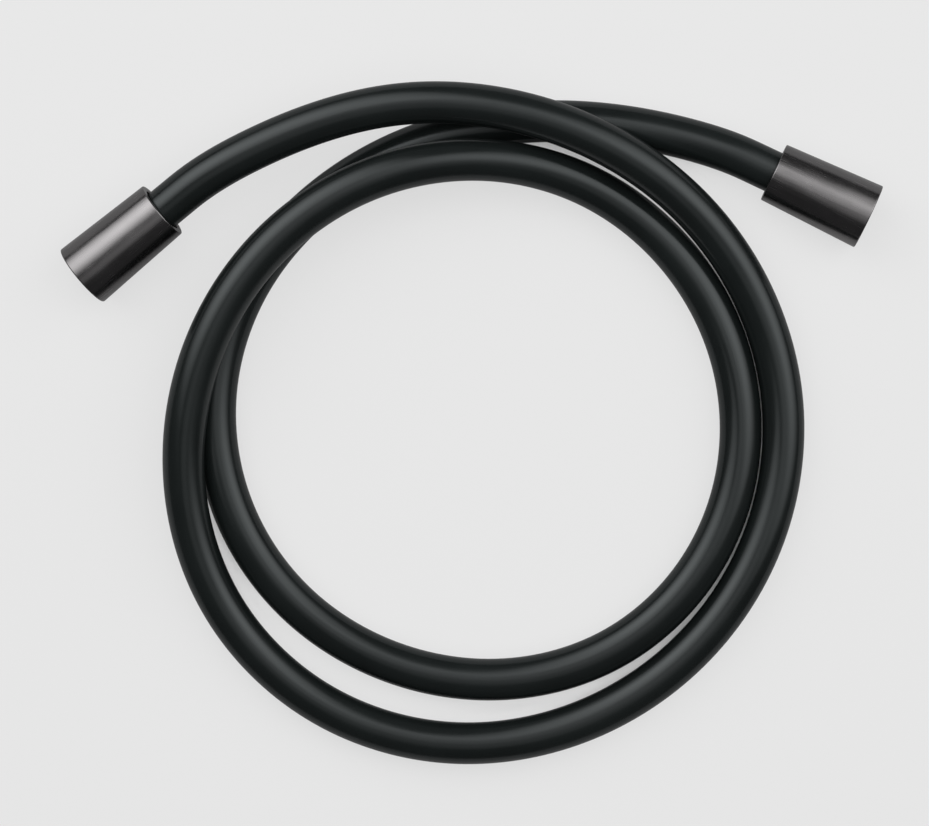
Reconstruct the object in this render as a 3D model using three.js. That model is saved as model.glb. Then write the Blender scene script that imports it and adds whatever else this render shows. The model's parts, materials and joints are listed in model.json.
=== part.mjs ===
// A shower hose: a smooth 1.6 m hose that lies in two loose loops, with a G1/2 union nut at each end.
// Millimetres, +Z up, lying on a floor at Z = 0. Seen from above, the origin is the middle of the outline.
import * as THREE from "three";

// The hose's round section: the outside and the bore.
const HOSE_RADIUS = 7.6;
const BORE_RADIUS = 4.5;

// The internal G1/2 thread of both nuts, at its crests and at its roots, and how deep a tap's
// spigot screws in before it meets the washer. The fine thread itself is left plain here.
const THREAD_CREST_RADIUS = 9.316;
const THREAD_ROOT_RADIUS = 10.478;
const SOCKET_DEPTH = 9;

// A union nut: its length, the air round the hose at its rear, and its walls.
const NUT_LENGTH = 38;
const NUT_REAR_GAP = 0.9;
const NUT_MOUTH_WALL = 1.72;
const NUT_REAR_WALL = 2.5;
const NUT_EDGE_ROUNDING = 0.5;

// The flat washer in each nut.
const WASHER_THICKNESS = 2;
const WASHER_HOLE_RADIUS = 5.5;
const WASHER_SIDE_GAP = 0.12;

// The flange that the washer seals on, and how far the nut's shoulder reaches in behind it. The
// flange comes in through the thread when the nut is pulled on, so it stays under the crests.
const FLANGE_THICKNESS = 2;
const SHOULDER_WIDTH = 0.75;

// Clearances: between faces that bear on each other, round a part that turns, round the hose's
// end under its ferrule, and round a barbed tail in the bore.
const SEAT_GAP = 0.3;
const RUNNING_GAP = 0.15;
const CRIMP_GAP = 0.12;
const TAIL_GAP = 0.35;

// The ferrules: their wall, how far they stop short of the nut's rear, and their crimp grooves.
const FERRULE_WALL = 0.45;
const FERRULE_RECESS = 2;
const CRIMP_GROOVES = 3;
const CRIMP_GROOVE_DEPTH = 0.2;
const CRIMP_GROOVE_LENGTH = 1.6;

// The barbed tails that hold the hose's two ends.
const TAIL_WALL = 0.95;
const BARB_DEPTH = 0.3;
const BARB_PITCH = 3;
const INSERT_TAIL_LENGTH = 18;
const CORE_TAIL_LENGTH = 11.5;

// The swivel at the handset's end: the seat's hub and bore, the clip's counterbore, the core's collar.
const HUB_LENGTH = 7.7;
const SEAT_BORE_RADIUS = 5.6;
const CLIP_POCKET_RADIUS = 7;
const CLIP_POCKET_DEPTH = 3;
const CORE_SETBACK = 0.7;
const COLLAR_THICKNESS = 1.5;
const COLLAR_WALL = 1.4;

// The spring clip in the core's groove: its thickness, its grip under the core's surface, its opening.
const CLIP_THICKNESS = 0.8;
const CLIP_GRIP = 0.9;
const CLIP_SIDE_GAP = 0.2;
const CLIP_OPENING = THREE.MathUtils.degToRad(34);

// The rubber ring's section, and where its groove lies along the seat's plain bore.
const O_RING_SECTION = 0.65;
const O_RING_GAP = 0.17;
const O_RING_SETBACK = 3.3;

// Where the hose enters each nut at its rear face, and which way the nut then points, in degrees
// from +X seen from above. Each nut tips until the lower edge of its mouth rests on the floor.
const HANDSET_ENTRY = new THREE.Vector3(-111.5, 77.1, 16.5);
const HANDSET_HEADING = 218.9;
const SUPPLY_ENTRY = new THREE.Vector3(109.8, 91, 11);
const SUPPLY_HEADING = -25.4;

// The hose leaves each nut straight for this long, then follows the stations of its route. Each
// station is its angle round the loops' centre in degrees, its distance from it and its height.
// The hose passes over its own far end twice, in long low humps.
const STRAIGHT_RUN = 10;
const LOOPS_CENTRE = [3.5, 1];
const ROUTE = [
  [130, 127.5, 19.7],
  [105, 117.6, 22.4],
  [80, 111.1, 23.1],
  [55, 108.5, 19],
  [30, 108.6, 11.1],
  [5, 109.8, 8],
  [-20, 111.25, 7.6],
  [-45, 113.05, 7.6],
  [-70, 115.4, 7.6],
  [-95, 117.75, 7.6],
  [-120, 118.2, 7.8],
  [-145, 115.2, 10.5],
  [-170, 108.9, 17.1],
  [-195, 102.8, 22.3],
  [-220, 98.4, 23.4],
  [-245, 95.5, 22.8],
  [-270, 94, 17.9],
  [-295, 93.5, 11],
  [-320, 93.15, 8],
  [-345, 93.8, 7.6],
  [-370, 95, 7.6],
  [-395, 96, 7.6],
  [-420, 95.95, 7.6],
  [-445, 94.55, 7.6],
  [-470, 93.7, 7.6],
  [-495, 94.4, 7.6],
  [-520, 95.6, 7.6],
  [-545, 96.7, 7.6],
  [-570, 97.5, 7.6],
  [-595, 98.9, 7.6],
  [-620, 103.5, 7.6],
  [-645, 112.6, 7.6],
  [-667, 127.4, 8.9],
];

// How finely round things are faceted: the hose's sides and its steps along, and turned parts.
const HOSE_SIDES = 12;
const HOSE_STEPS = 80;
const TURNED_SIDES = 36;
const ROUNDING_STEPS = 3;
const O_RING_SIDES = 10;
const CLIP_STEPS = 30;

// Radii that follow from those sizes, from the hose outwards and from the thread inwards.
const FERRULE_INNER_RADIUS = HOSE_RADIUS + CRIMP_GAP;
const FERRULE_RADIUS = FERRULE_INNER_RADIUS + FERRULE_WALL;
const NUT_BORE_RADIUS = HOSE_RADIUS + NUT_REAR_GAP;
const NUT_REAR_RADIUS = NUT_BORE_RADIUS + NUT_REAR_WALL;
const NUT_MOUTH_RADIUS = THREAD_ROOT_RADIUS + NUT_MOUTH_WALL;
const FLANGE_RADIUS = NUT_BORE_RADIUS + SHOULDER_WIDTH;
const WASHER_RADIUS = THREAD_CREST_RADIUS - WASHER_SIDE_GAP;
const HUB_RADIUS = NUT_BORE_RADIUS - SEAT_GAP;
const TAIL_RADIUS = BORE_RADIUS - TAIL_GAP;
const TAIL_ROOT_RADIUS = TAIL_RADIUS - BARB_DEPTH;
const WATERWAY_RADIUS = TAIL_ROOT_RADIUS - TAIL_WALL;
const SPIGOT_RADIUS = SEAT_BORE_RADIUS - RUNNING_GAP;
const COLLAR_RADIUS = SPIGOT_RADIUS + COLLAR_WALL;

// Places along a nut's axis, measured from its mouth towards the hose.
const WASHER_BACK = SOCKET_DEPTH + WASHER_THICKNESS;
const FLANGE_FRONT = WASHER_BACK + SEAT_GAP;
const FLANGE_BACK = FLANGE_FRONT + FLANGE_THICKNESS;
const SHOULDER = FLANGE_BACK + SEAT_GAP;
const RELIEF_START = SOCKET_DEPTH + WASHER_THICKNESS / 2;
const FERRULE_END = NUT_LENGTH - FERRULE_RECESS;
const HUB_END = FLANGE_BACK + HUB_LENGTH;
const COLLAR_FRONT = HUB_END + SEAT_GAP;
const COLLAR_BACK = COLLAR_FRONT + COLLAR_THICKNESS;
const CORE_FRONT = FLANGE_FRONT + CORE_SETBACK;
const CLIP_SHOULDER = FLANGE_FRONT + CLIP_POCKET_DEPTH;
const CLIP_BACK = CLIP_SHOULDER - CLIP_SIDE_GAP;
const CLIP_FRONT = CLIP_BACK - CLIP_THICKNESS;
const O_RING_CENTRE = CLIP_SHOULDER + O_RING_SETBACK;
const O_RING_GROOVE_RADIUS = SEAT_BORE_RADIUS - 2 * (O_RING_SECTION + O_RING_GAP);

// Each ferrule's front lip is held between a metal face and the hose's end.
const HANDSET_LIP = COLLAR_BACK + SEAT_GAP;
const HANDSET_HOSE_END = HANDSET_LIP + FERRULE_WALL + SEAT_GAP;
const SUPPLY_LIP = SHOULDER;
const SUPPLY_HOSE_END = SUPPLY_LIP + FERRULE_WALL + SEAT_GAP;

function material(name, color, roughness, metalness) {
  return new THREE.MeshStandardMaterial({ name, color, roughness, metalness });
}

const BLACK_HOSE = material("black_hose", 0x17191a, 0.42, 0);
const GUNMETAL = material("gunmetal", 0x5a5656, 0.36, 1);
const BRASS = material("brass", 0xb08d4a, 0.32, 1);
const STEEL = material("steel", 0xa3a5a6, 0.3, 1);
const RUBBER = material("rubber", 0x161616, 0.8, 0);

function named(name, geometry, finish) {
  const mesh = new THREE.Mesh(geometry, finish);
  mesh.name = name;
  return mesh;
}

// A part turned round the nut's axis, from the closed outline of its wall. Each corner is its
// place along the axis and its radius.
function turned(name, corners, finish) {
  const outline = corners.map(([along, radius]) => new THREE.Vector2(radius, along));
  if (THREE.ShapeUtils.area(outline) < 0) {
    outline.reverse();
  }
  outline.push(outline[0].clone());
  return named(name, new THREE.LatheGeometry(outline, TURNED_SIDES), finish);
}

// A quarter circle of corners about a centre, from one angle to the next, in degrees.
function rounded(along, radius, size, from) {
  const corners = [];
  for (let step = 0; step <= ROUNDING_STEPS; step += 1) {
    const angle = THREE.MathUtils.degToRad(from + (90 * step) / ROUNDING_STEPS);
    corners.push([along + size * Math.cos(angle), radius + size * Math.sin(angle)]);
  }
  return corners;
}

// A union nut. From the mouth: a lead-in, the threaded socket, a relief for the washer and the
// flange, the shoulder that pulls on the flange, and a bore that clears the hose.
function unionNut(name) {
  const leadIn = THREAD_ROOT_RADIUS - THREAD_CREST_RADIUS;
  const edge = NUT_EDGE_ROUNDING;
  const corners = [
    [0, THREAD_ROOT_RADIUS],
    [leadIn, THREAD_CREST_RADIUS],
    [RELIEF_START, THREAD_CREST_RADIUS],
    [RELIEF_START, THREAD_ROOT_RADIUS],
    [SHOULDER, THREAD_ROOT_RADIUS],
    [SHOULDER, NUT_BORE_RADIUS],
    [NUT_LENGTH - edge, NUT_BORE_RADIUS],
    [NUT_LENGTH, NUT_BORE_RADIUS + edge],
    ...rounded(NUT_LENGTH - edge, NUT_REAR_RADIUS - edge, edge, 0),
    ...rounded(edge, NUT_MOUTH_RADIUS - edge, edge, 90),
  ];
  return turned(name, corners, GUNMETAL);
}

function washer(name) {
  const corners = [
    [SOCKET_DEPTH, WASHER_HOLE_RADIUS],
    [WASHER_BACK, WASHER_HOLE_RADIUS],
    [WASHER_BACK, WASHER_RADIUS],
    [SOCKET_DEPTH, WASHER_RADIUS],
  ];
  return turned(name, corners, RUBBER);
}

// The thin sleeve crimped round the hose's end, with grooves pressed into its outside and a
// front lip that reaches in over the hose's end face.
function ferrule(name, lip) {
  const lipRadius = TAIL_RADIUS + SEAT_GAP;
  const corners = [
    [lip, lipRadius],
    [lip, FERRULE_RADIUS],
  ];
  const pitch = (FERRULE_END - lip) / (CRIMP_GROOVES + 1);
  for (let groove = 1; groove <= CRIMP_GROOVES; groove += 1) {
    const middle = lip + groove * pitch;
    const half = CRIMP_GROOVE_LENGTH / 2;
    corners.push([middle - half, FERRULE_RADIUS]);
    corners.push([middle - half / 2, FERRULE_RADIUS - CRIMP_GROOVE_DEPTH]);
    corners.push([middle + half / 2, FERRULE_RADIUS - CRIMP_GROOVE_DEPTH]);
    corners.push([middle + half, FERRULE_RADIUS]);
  }
  corners.push([FERRULE_END, FERRULE_RADIUS]);
  corners.push([FERRULE_END, FERRULE_INNER_RADIUS]);
  corners.push([lip + FERRULE_WALL, FERRULE_INNER_RADIUS]);
  corners.push([lip + FERRULE_WALL, lipRadius]);
  return turned(name, corners, BRASS);
}

// The barbs of a tail, steep towards the flange so that the hose can't slip off.
function barbs(start, end) {
  const corners = [];
  for (let along = start; along + BARB_PITCH <= end; along += BARB_PITCH) {
    corners.push([along, TAIL_ROOT_RADIUS]);
    corners.push([along, TAIL_RADIUS]);
  }
  corners.push([end, TAIL_ROOT_RADIUS]);
  return corners;
}

// The supply end's insert: a flange, a neck through the ferrule's lip, and a barbed tail.
function insert(name) {
  const tailEnd = SUPPLY_HOSE_END + INSERT_TAIL_LENGTH;
  const corners = [
    [FLANGE_FRONT, WATERWAY_RADIUS],
    [FLANGE_FRONT, FLANGE_RADIUS],
    [FLANGE_BACK, FLANGE_RADIUS],
    [FLANGE_BACK, TAIL_ROOT_RADIUS],
    ...barbs(SUPPLY_HOSE_END + BARB_PITCH / 2, tailEnd),
    [tailEnd, WATERWAY_RADIUS],
  ];
  return turned(name, corners, BRASS);
}

// The swivel's seat: a flange for the washer, and a hub that turns on the core's spigot, with a
// pocket at the front for the clip.
function swivelSeat(name) {
  const corners = [
    [FLANGE_FRONT, CLIP_POCKET_RADIUS],
    [FLANGE_FRONT, FLANGE_RADIUS],
    [FLANGE_BACK, FLANGE_RADIUS],
    [FLANGE_BACK, HUB_RADIUS],
    [HUB_END, HUB_RADIUS],
    [HUB_END, SEAT_BORE_RADIUS],
    [CLIP_SHOULDER, SEAT_BORE_RADIUS],
    [CLIP_SHOULDER, CLIP_POCKET_RADIUS],
  ];
  return turned(name, corners, BRASS);
}

// The swivel's core: a spigot with a clip groove and a seal groove, a collar, and a barbed tail.
function swivelCore(name) {
  const clipBed = SPIGOT_RADIUS - CLIP_GRIP - CLIP_SIDE_GAP;
  const sealHalf = O_RING_SECTION + O_RING_GAP;
  const tailEnd = HANDSET_HOSE_END + CORE_TAIL_LENGTH;
  const corners = [
    [CORE_FRONT, WATERWAY_RADIUS],
    [CORE_FRONT, SPIGOT_RADIUS],
    [CLIP_FRONT - CLIP_SIDE_GAP, SPIGOT_RADIUS],
    [CLIP_FRONT - CLIP_SIDE_GAP, clipBed],
    [CLIP_BACK + CLIP_SIDE_GAP, clipBed],
    [CLIP_BACK + CLIP_SIDE_GAP, SPIGOT_RADIUS],
    [O_RING_CENTRE - sealHalf, SPIGOT_RADIUS],
    [O_RING_CENTRE - sealHalf, O_RING_GROOVE_RADIUS],
    [O_RING_CENTRE + sealHalf, O_RING_GROOVE_RADIUS],
    [O_RING_CENTRE + sealHalf, SPIGOT_RADIUS],
    [COLLAR_FRONT, SPIGOT_RADIUS],
    [COLLAR_FRONT, COLLAR_RADIUS],
    [COLLAR_BACK, COLLAR_RADIUS],
    [COLLAR_BACK, TAIL_ROOT_RADIUS],
    ...barbs(HANDSET_HOSE_END + BARB_PITCH / 2, tailEnd),
    [tailEnd, WATERWAY_RADIUS],
  ];
  return turned(name, corners, BRASS);
}

function oRing(name) {
  const middle = O_RING_GROOVE_RADIUS + O_RING_GAP + O_RING_SECTION;
  const corners = [];
  for (let side = 0; side < O_RING_SIDES; side += 1) {
    const angle = (2 * Math.PI * side) / O_RING_SIDES;
    const along = O_RING_CENTRE + O_RING_SECTION * Math.cos(angle);
    corners.push([along, middle + O_RING_SECTION * Math.sin(angle)]);
  }
  return turned(name, corners, RUBBER);
}

// The open spring clip: a flat ring with a gap, lying across the nut's axis in the core's groove.
function springClip(name) {
  const inner = SPIGOT_RADIUS - CLIP_GRIP;
  const outer = CLIP_POCKET_RADIUS - CLIP_SIDE_GAP;
  const from = CLIP_OPENING / 2;
  const to = 2 * Math.PI - CLIP_OPENING / 2;
  const ring = new THREE.Shape();
  ring.absarc(0, 0, outer, from, to, false);
  ring.absarc(0, 0, inner, to, from, true);
  const options = { depth: CLIP_THICKNESS, bevelEnabled: false, curveSegments: CLIP_STEPS };
  const mesh = named(name, new THREE.ExtrudeGeometry(ring, options), STEEL);
  mesh.rotation.x = Math.PI / 2;
  mesh.position.y = CLIP_BACK;
  return mesh;
}

// The direction in which a nut's mouth points, tipped so that its lower edge rests on the floor.
function mouthDirection(entry, heading) {
  const reach = Math.hypot(NUT_LENGTH, NUT_MOUTH_RADIUS);
  const tip = Math.asin(entry.z / reach) - Math.atan2(NUT_MOUTH_RADIUS, NUT_LENGTH);
  const turn = THREE.MathUtils.degToRad(heading);
  const level = Math.cos(tip);
  return new THREE.Vector3(level * Math.cos(turn), level * Math.sin(turn), -Math.sin(tip));
}

// A fitting's group: its origin is the middle of the nut's mouth, and its +Y axis runs from
// there towards the hose.
function fitting(entry, direction, pieces) {
  const group = new THREE.Group();
  group.position.copy(entry).addScaledVector(direction, NUT_LENGTH);
  group.quaternion.setFromUnitVectors(new THREE.Vector3(0, 1, 0), direction.clone().negate());
  group.add(...pieces);
  return group;
}

// The hose's middle line. It is straight in and just behind each nut, and between those two
// stretches a smooth cubic passes through every station, with the slope and bend unbroken.
class HoseLine extends THREE.Curve {
  constructor(start, startDirection, middle, end, endDirection) {
    super();
    this.arcLengthDivisions = 40 * middle.length;
    this.points = [start, ...middle, end];
    this.lengths = this.points.slice(1).map((point, i) => point.distanceTo(this.points[i]));
    this.slopes = [startDirection, ...HoseLine.slopesOf(middle, startDirection, endDirection), endDirection];
  }

  // The slope at each station that keeps the bend the same on its two sides.
  static slopesOf(points, first, last) {
    const spans = points.slice(1).map((point, i) => point.distanceTo(points[i]));
    const slopes = [first.clone()];
    const factors = [0];
    for (let i = 1; i < points.length - 1; i += 1) {
      const before = spans[i - 1];
      const after = spans[i];
      const pull = new THREE.Vector3()
        .addScaledVector(points[i].clone().sub(points[i - 1]), (3 * after) / before)
        .addScaledVector(points[i + 1].clone().sub(points[i]), (3 * before) / after)
        .addScaledVector(slopes[i - 1], -after);
      const weight = 2 * (before + after) - after * factors[i - 1];
      factors.push(before / weight);
      slopes.push(pull.divideScalar(weight));
    }
    slopes.push(last.clone());
    for (let i = points.length - 2; i > 0; i -= 1) {
      slopes[i].addScaledVector(slopes[i + 1], -factors[i]);
    }
    return slopes;
  }

  getPoint(t, target = new THREE.Vector3()) {
    const spans = this.lengths.length;
    const span = Math.min(Math.floor(t * spans), spans - 1);
    const u = t * spans - span;
    const length = this.lengths[span];
    const a = this.points[span];
    const b = this.points[span + 1];
    return target
      .set(0, 0, 0)
      .addScaledVector(a, 1 - u * u * (3 - 2 * u))
      .addScaledVector(b, u * u * (3 - 2 * u))
      .addScaledVector(this.slopes[span], length * u * (1 - u) * (1 - u))
      .addScaledVector(this.slopes[span + 1], -length * u * u * (1 - u));
  }
}

function station([degrees, distance, height]) {
  const angle = THREE.MathUtils.degToRad(degrees);
  const x = LOOPS_CENTRE[0] + distance * Math.cos(angle);
  const y = LOOPS_CENTRE[1] + distance * Math.sin(angle);
  return new THREE.Vector3(x, y, height);
}

function ringOf(radius) {
  const corners = [];
  for (let side = 0; side < HOSE_SIDES; side += 1) {
    const angle = (2 * Math.PI * side) / HOSE_SIDES;
    corners.push(new THREE.Vector2(radius * Math.cos(angle), radius * Math.sin(angle)));
  }
  return corners;
}

// The hose itself, from its end on the swivel's core to its end on the supply insert.
function hose(name, handsetDirection, supplyDirection) {
  const along = (entry, direction, distance) => entry.clone().addScaledVector(direction, distance);
  const start = along(HANDSET_ENTRY, handsetDirection, NUT_LENGTH - HANDSET_HOSE_END);
  const end = along(SUPPLY_ENTRY, supplyDirection, NUT_LENGTH - SUPPLY_HOSE_END);
  const middle = [
    along(HANDSET_ENTRY, handsetDirection, -STRAIGHT_RUN),
    ...ROUTE.map(station),
    along(SUPPLY_ENTRY, supplyDirection, -STRAIGHT_RUN),
  ];
  const line = new HoseLine(start, handsetDirection.clone().negate(), middle, end, supplyDirection);
  const section = new THREE.Shape(ringOf(HOSE_RADIUS));
  section.holes.push(new THREE.Path(ringOf(BORE_RADIUS)));
  const options = { steps: HOSE_STEPS, bevelEnabled: false, extrudePath: line };
  return named(name, new THREE.ExtrudeGeometry(section, options), BLACK_HOSE);
}

const handsetDirection = mouthDirection(HANDSET_ENTRY, HANDSET_HEADING);
const supplyDirection = mouthDirection(SUPPLY_ENTRY, SUPPLY_HEADING);

const showerHose = new THREE.Group();
showerHose.name = "shower_hose";
showerHose.add(
  hose("hose", handsetDirection, supplyDirection),
  fitting(HANDSET_ENTRY, handsetDirection, [
    unionNut("handset_nut"),
    washer("handset_washer"),
    swivelSeat("swivel_seat"),
    swivelCore("swivel_core"),
    oRing("swivel_o_ring"),
    springClip("retaining_clip"),
    ferrule("handset_ferrule", HANDSET_LIP),
  ]),
  fitting(SUPPLY_ENTRY, supplyDirection, [
    unionNut("supply_nut"),
    washer("supply_washer"),
    insert("supply_insert"),
    ferrule("supply_ferrule", SUPPLY_LIP),
  ]),
);

export default showerHose;
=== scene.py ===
# The looks of a smooth black shower hose that lies in two loose loops, with a union nut at each end.
# Everything is in metres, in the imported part's own frame, with the floor at Z = 0.
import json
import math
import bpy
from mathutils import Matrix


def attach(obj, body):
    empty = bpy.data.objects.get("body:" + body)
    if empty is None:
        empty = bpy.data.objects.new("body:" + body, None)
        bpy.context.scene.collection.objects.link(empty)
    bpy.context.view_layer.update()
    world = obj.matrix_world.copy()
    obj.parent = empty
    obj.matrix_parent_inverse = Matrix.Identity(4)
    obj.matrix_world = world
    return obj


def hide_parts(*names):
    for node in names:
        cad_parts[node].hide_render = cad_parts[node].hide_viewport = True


bl_info = {
    "name": "Shower Hose",
    "version": (1, 0, 0),
    "blender": (4, 5, 0),
    "location": "3D View > Sidebar > Shower Hose",
    "description": "Builds a shower hose with its union nuts, seals and hose ends, and a plain stage",
    "category": "Object",
}

import bpy
from bpy.props import FloatProperty, FloatVectorProperty, IntProperty, PointerProperty
from mathutils import Matrix, Vector

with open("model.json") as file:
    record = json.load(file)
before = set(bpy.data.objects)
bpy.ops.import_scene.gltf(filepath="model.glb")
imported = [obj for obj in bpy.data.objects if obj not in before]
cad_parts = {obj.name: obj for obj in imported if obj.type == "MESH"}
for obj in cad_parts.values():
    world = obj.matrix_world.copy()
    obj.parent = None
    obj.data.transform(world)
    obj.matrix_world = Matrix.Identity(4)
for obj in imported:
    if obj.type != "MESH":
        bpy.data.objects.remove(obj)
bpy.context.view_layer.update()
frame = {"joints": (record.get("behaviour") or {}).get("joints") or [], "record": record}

# The photograph's frame in pixels. The camera stands over the picture point EYE_PIXEL, and the
# part's own origin lies at the picture point ORIGIN_PIXEL.
PICTURE_SIZE = (929, 826)
EYE_PIXEL = (464, 412.5)
ORIGIN_PIXEL = (470.5, 422.5)
SENSOR_WIDTH_MM = 36

# The floor's size. How near something has to stand for a gap beside it to be dark, the shares of
# open sky between which such a gap goes from dark to pale, and the rays that find that share.
FLOOR_RADIUS = 4.0
FLOOR_THICKNESS = 0.01
GAP_REACH = 0.02
CLOSED_SKY = 0.1
OPEN_SKY = 0.18
SKY_SAMPLES = 8

# The lamps, each with its heading and its lean from the vertical in degrees, its distance, its
# side, its softness and the radiance of its middle: two large soft boxes beyond the top of the
# picture, a weaker one nearly overhead, a faint one beyond the bottom, and a wide even light that
# has no reflection of its own.
EVEN_LIGHT = "even_light"
LAMPS = {
    "left_soft_box": (136, 46, 1.5, 1.9, 0.29, 2.6),
    "right_soft_box": (23, 46, 1.5, 1.8, 0.3, 2.1),
    "top_soft_box": (70, 15, 1.8, 1.3, 0.36, 0.85),
    "far_soft_box": (285, 14, 1.9, 1.2, 0.36, 0.36),
    EVEN_LIGHT: (0, 0, 2.4, 3.0, 1.0, 0.85),
}

# How fine the patterns of the finishes are: grains a metre across the piece's axis and along it.
DIE_LINES = (900, 9)
PLASTIC_PATCHES = (70, 35)
PLASTIC_SKIN = (2600, 2600)
METAL_CLOUDS = (160, 110)
NUT_BRUSHING = (2400, 70)
TURNED_RINGS = (260, 5200)
ROLLED_GRAIN = (1500, 1500)
RUBBER_GRAIN = (3200, 3200)
RUBBER_BLOOM = (240, 240)

# The part of a noise's range that most of its values fill, how high each finish's relief is, how
# strongly the plastic reflects and how cool that is, and how rough the hidden metals are.
NOISE_RANGE = (0.3, 0.7)
PLASTIC_RELIEF = 0.000006
METAL_RELIEF = 0.000004
RUBBER_RELIEF = 0.00002
PLASTIC_SPECULAR = 0.52
PLASTIC_TINT = (0.93, 0.99, 1.0, 1.0)
BRASS_ROUGHNESS = 0.27
STEEL_ROUGHNESS = 0.25

# The way that the hose lies. It leaves each nut straight, and then passes through stations, each
# given by its angle round the middle of the loops in degrees, its distance from there and its
# height. It passes over its own far end twice, in long low humps.
STRAIGHT_RUN = 0.01
LOOPS_CENTRE = (0.0035, 0.001)
ROUTE = [
    (130, 0.1275, 0.0197),
    (105, 0.1176, 0.0224),
    (80, 0.1111, 0.0231),
    (55, 0.1085, 0.019),
    (30, 0.1086, 0.0111),
    (5, 0.1098, 0.008),
    (-20, 0.11125, 0.0076),
    (-45, 0.11305, 0.0076),
    (-70, 0.1154, 0.0076),
    (-95, 0.11775, 0.0076),
    (-120, 0.1182, 0.0078),
    (-145, 0.1152, 0.0105),
    (-170, 0.1089, 0.0171),
    (-195, 0.1028, 0.0223),
    (-220, 0.0984, 0.0234),
    (-245, 0.0955, 0.0228),
    (-270, 0.094, 0.0179),
    (-295, 0.0935, 0.011),
    (-320, 0.09315, 0.008),
    (-345, 0.0938, 0.0076),
    (-370, 0.095, 0.0076),
    (-395, 0.096, 0.0076),
    (-420, 0.09595, 0.0076),
    (-445, 0.09455, 0.0076),
    (-470, 0.0937, 0.0076),
    (-495, 0.0944, 0.0076),
    (-520, 0.0956, 0.0076),
    (-545, 0.0967, 0.0076),
    (-570, 0.0975, 0.0076),
    (-595, 0.0989, 0.0076),
    (-620, 0.1035, 0.0076),
    (-645, 0.1126, 0.0076),
    (-667, 0.1274, 0.0089),
]
LINE_STEPS = 24

# The flat washer in each nut, the flange that it seals on, and the nut's shoulder behind it.
WASHER_THICKNESS = 0.002
WASHER_HOLE_RADIUS = 0.0055
WASHER_SIDE_GAP = 0.00012
FLANGE_THICKNESS = 0.002
SHOULDER_WIDTH = 0.00075

# Clearances: between faces that bear on each other, round a part that turns, round the hose's
# end under its ferrule, and round a barbed tail in the bore.
SEAT_GAP = 0.0003
RUNNING_GAP = 0.00015
CRIMP_GAP = 0.00012
TAIL_GAP = 0.00035

# The ferrules: their wall, how far they stop short of the nut's rear, and their crimp grooves.
FERRULE_WALL = 0.00045
FERRULE_RECESS = 0.002
CRIMP_GROOVES = 3
CRIMP_GROOVE_DEPTH = 0.0002
CRIMP_GROOVE_LENGTH = 0.0016

# The barbed tails that hold the hose's two ends.
TAIL_WALL = 0.00095
BARB_DEPTH = 0.0003
BARB_PITCH = 0.003
INSERT_TAIL_LENGTH = 0.018
CORE_TAIL_LENGTH = 0.0115

# The swivel: the seat's hub and bore, the clip's pocket, and the core's collar.
HUB_LENGTH = 0.0077
SEAT_BORE_RADIUS = 0.0056
CLIP_POCKET_RADIUS = 0.007
CLIP_POCKET_DEPTH = 0.003
CORE_SETBACK = 0.0007
COLLAR_THICKNESS = 0.0015
COLLAR_WALL = 0.0014

# The spring clip in the core's groove, and the rubber ring's section and place.
CLIP_THICKNESS = 0.0008
CLIP_GRIP = 0.0009
CLIP_SIDE_GAP = 0.0002
CLIP_OPENING = math.radians(34)
O_RING_SECTION = 0.00065
O_RING_GAP = 0.00017
O_RING_SETBACK = 0.0033

# How finely things are made: small rounded edges and the most of a side that one takes up, turned
# sides, thread steps and the seal's sides. Points nearer than MERGE_REACH become one.
EDGE_EASE = 0.00012
EASE_STEPS = 3
RIM_STEPS = 8
EASE_SHARE = 0.45
TURNED_SIDES = 96
THREADED_SIDES = 128
THREAD_SAMPLES = 16
O_RING_SIDES = 24
MERGE_REACH = 0.000002
SMOOTH_ANGLE = math.radians(38)

# The attribute that holds a point's place in its piece's own frame: for a turned piece, its axis
# is Z and the nut's mouth is at 0, and for the hose, the place it would have in a straight hose.
OWN_PLACE = "own_place"

RECORD = frame["record"]
BODY_OF = {node: body for body, nodes in RECORD["behaviour"]["bodies"].items() for node in nodes}
COLOUR_OF = {row["slot"]: tuple(row["base_color"]) for row in RECORD["materials"]}
JOINT_OF = {joint["name"]: joint for joint in frame["joints"]}


class HoseProperties(bpy.types.PropertyGroup):
    """Sizes and finish of the hose itself"""

    diameter: FloatProperty(
        name="Diameter", description="Outside diameter of the hose", default=0.0152, unit="LENGTH"
    )
    bore: FloatProperty(
        name="Bore", description="Inside diameter of the hose", default=0.009, unit="LENGTH"
    )
    ring_spacing: FloatProperty(
        name="Ring Spacing",
        description="Distance between two rings of faces",
        default=0.003,
        unit="LENGTH",
    )
    sides: IntProperty(name="Sides", description="Faces round the hose", default=48, min=12)
    colour: FloatVectorProperty(
        name="Colour",
        description="Colour of the plastic",
        default=(0.0086, 0.0108, 0.0106),
        subtype="COLOR",
        min=0,
        max=1,
    )
    roughness: FloatProperty(
        name="Roughness",
        description="How much the satin surface spreads a reflection",
        default=0.22,
        subtype="FACTOR",
        min=0,
        max=1,
    )


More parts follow.
